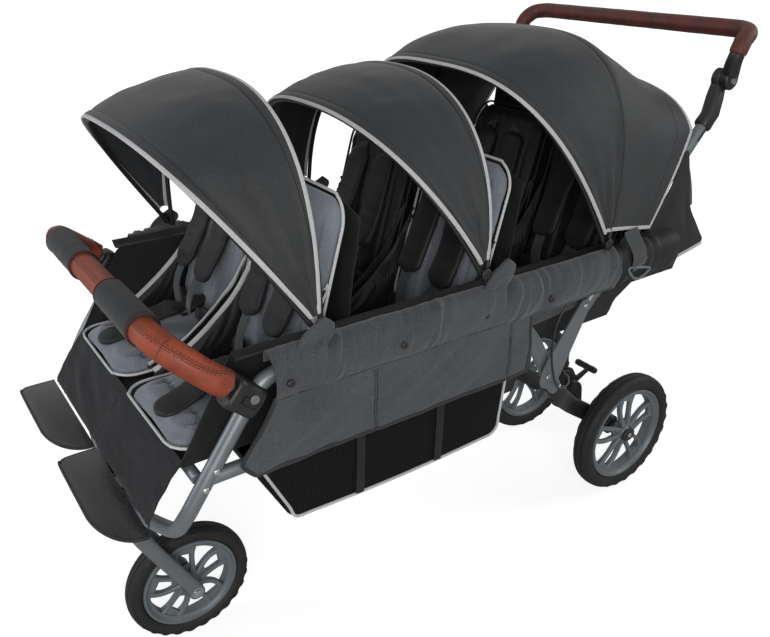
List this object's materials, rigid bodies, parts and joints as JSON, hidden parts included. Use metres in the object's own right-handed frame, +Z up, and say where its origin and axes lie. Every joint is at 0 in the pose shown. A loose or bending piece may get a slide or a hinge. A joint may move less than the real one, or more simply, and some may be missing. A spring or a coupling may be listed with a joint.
{
  "type": "six-seat stroller",
  "caption": "Long pushchair with rows of paired padded seats, folding canopies, a swivelling front wheel, a bumper bar and a tilting handlebar on a tube frame.",
  "frame": {"origin": "middle of the bounding box on the ground", "axes": "+Z up, -Y towards the front wheel and the children's view, +X towards the children's left side"},
  "size_m": [0.6296, 1.377, 1.0915],
  "materials": {
    "frame_paint": "satin grey paint",
    "zinc_plated_steel": "plated",
    "black_plastic": "moulded",
    "grey_plastic": "satin",
    "tyre_rubber": "matte",
    "brown_leatherette": "stitched",
    "charcoal_twill": "twill",
    "black_lining": "plain weave",
    "grey_cushion_cloth": "padded",
    "black_mesh": "mesh"
  },
  "bodies": {
    "frame": {"side_frame_left": "frame_paint", "side_frame_right": "frame_paint", "head_tube": "frame_paint", "front_cross_tube": "frame_paint", "middle_cross_tube": "frame_paint", "rear_cross_tube": "frame_paint", "lower_rail_left": "frame_paint", "lower_rail_right": "frame_paint", "seat_sling": "black_lining", "side_panel_left": "charcoal_twill", "side_panel_right": "charcoal_twill", "rear_wall": "black_lining", "basket": "black_mesh", "seat_front_left": "grey_cushion_cloth", "seat_front_right": "grey_cushion_cloth", "seat_middle_left": "grey_cushion_cloth", "seat_middle_right": "grey_cushion_cloth", "seat_rear_left": "grey_cushion_cloth", "seat_rear_right": "grey_cushion_cloth", "canopy_front": "charcoal_twill", "canopy_middle": "charcoal_twill", "canopy_rear": "charcoal_twill", "canopy_stay_front": "grey_plastic", "canopy_stay_middle": "grey_plastic", "canopy_stay_rear": "grey_plastic", "bumper_clamp_left": "black_plastic", "bumper_clamp_right": "black_plastic"},
    "fork": {"front_fork": "frame_paint", "front_axle": "zinc_plated_steel"},
    "front_wheel": {"front_tyre": "tyre_rubber", "front_rim": "grey_plastic"},
    "rear_legs": {"rear_leg_left": "frame_paint", "rear_leg_right": "frame_paint", "axle_bracket_left": "black_plastic", "axle_bracket_right": "black_plastic", "rear_axle": "zinc_plated_steel", "rear_cross_bar": "black_plastic", "brake_cable": "black_plastic"},
    "rear_wheel_left": {"rear_left_tyre": "tyre_rubber", "rear_left_rim": "grey_plastic"},
    "rear_wheel_right": {"rear_right_tyre": "tyre_rubber", "rear_right_rim": "grey_plastic"},
    "brake": {"brake_lever": "black_plastic"},
    "handle": {"handle_tube_left": "frame_paint", "handle_tube_right": "frame_paint", "handle_joint_left": "black_plastic", "handle_joint_right": "black_plastic"},
    "handle_top": {"handlebar": "frame_paint", "handle_grip": "brown_leatherette"},
    "handle_push_left": {"handle_button_left": "grey_plastic"},
    "handle_push_right": {"handle_button_right": "grey_plastic"},
    "bumper": {"bumper_bar": "frame_paint", "bumper_grip": "brown_leatherette"},
    "bumper_push_left": {"bumper_button_left": "grey_plastic"},
    "bumper_push_right": {"bumper_button_right": "grey_plastic"},
    "bow_front": {"canopy_bow_front": "grey_plastic"},
    "bow_middle": {"canopy_bow_middle": "grey_plastic"},
    "bow_rear": {"canopy_bow_rear": "grey_plastic"},
    "foot_left": {"footrest_left": "black_plastic"},
    "foot_right": {"footrest_right": "black_plastic"}
  },
  "joints": [
    {"name": "fork_swivel", "type": "hinge", "parent": "frame", "child": "fork", "pos_m": [0, -0.6065, 0.345], "axis": [0, 0, 1], "continuous": true},
    {"name": "front_wheel_spin", "type": "hinge", "parent": "fork", "child": "front_wheel", "pos_m": [0, -0.5065, 0.12], "axis": [1, 0, 0], "continuous": true},
    {"name": "rear_leg_fold", "type": "hinge", "parent": "frame", "child": "rear_legs", "pos_m": [0, 0.0175, 0.688], "axis": [-1, 0, 0], "range_deg": [0, 18]},
    {"name": "rear_wheel_left_spin", "type": "hinge", "parent": "rear_legs", "child": "rear_wheel_left", "pos_m": [0.164, 0.5385, 0.15], "axis": [1, 0, 0], "continuous": true},
    {"name": "rear_wheel_right_spin", "type": "hinge", "parent": "rear_legs", "child": "rear_wheel_right", "pos_m": [-0.164, 0.5385, 0.15], "axis": [1, 0, 0], "continuous": true},
    {"name": "brake_press", "type": "hinge", "parent": "rear_legs", "child": "brake", "pos_m": [0.1105, 0.3985, 0.3], "axis": [-1, 0, 0], "range_deg": [0, 15]},
    {"name": "handle_fold", "type": "hinge", "parent": "frame", "child": "handle", "pos_m": [0, 0.3079, 0.688], "axis": [-1, 0, 0], "range_deg": [0, 24]},
    {"name": "handlebar_tilt", "type": "hinge", "parent": "handle", "child": "handle_top", "pos_m": [0, 0.5515, 0.99], "axis": [1, 0, 0], "range_deg": [-30, 60]},
    {"name": "handle_button_left_press", "type": "slide", "parent": "handle_top", "child": "handle_push_left", "axis": [-1, 0, 0], "range_m": [0, 0.004], "stiffness_N_per_m": 400, "springref_m": -0.003},
    {"name": "handle_button_right_press", "type": "slide", "parent": "handle_top", "child": "handle_push_right", "axis": [1, 0, 0], "range_m": [0, 0.004], "stiffness_N_per_m": 400, "springref_m": -0.003},
    {"name": "bumper_pull", "type": "slide", "parent": "frame", "child": "bumper", "axis": [0, -0.766, 0.6428], "range_m": [0, 0.04]},
    {"name": "bumper_button_left_press", "type": "slide", "parent": "frame", "child": "bumper_push_left", "axis": [-1, 0, 0], "range_m": [0, 0.003], "stiffness_N_per_m": 400, "springref_m": -0.003},
    {"name": "bumper_button_right_press", "type": "slide", "parent": "frame", "child": "bumper_push_right", "axis": [1, 0, 0], "range_m": [0, 0.003], "stiffness_N_per_m": 400, "springref_m": -0.003},
    {"name": "canopy_front_fold", "type": "hinge", "parent": "frame", "child": "bow_front", "pos_m": [0, -0.3595, 0.735], "axis": [-1, 0, 0], "range_deg": [0, 32]},
    {"name": "canopy_middle_fold", "type": "hinge", "parent": "frame", "child": "bow_middle", "pos_m": [0, -0.0515, 0.745], "axis": [-1, 0, 0], "range_deg": [0, 34]},
    {"name": "canopy_rear_fold", "type": "hinge", "parent": "frame", "child": "bow_rear", "pos_m": [0, 0.2385, 0.735], "axis": [-1, 0, 0], "range_deg": [0, 37]},
    {"name": "footrest_left_fold", "type": "hinge", "parent": "frame", "child": "foot_left", "pos_m": [0, -0.6279, 0.4756], "axis": [-1, 0, 0], "range_deg": [0, 70]},
    {"name": "footrest_right_fold", "type": "hinge", "parent": "frame", "child": "foot_right", "pos_m": [0, -0.6279, 0.4756], "axis": [-1, 0, 0], "range_deg": [0, 70]}
  ]
}
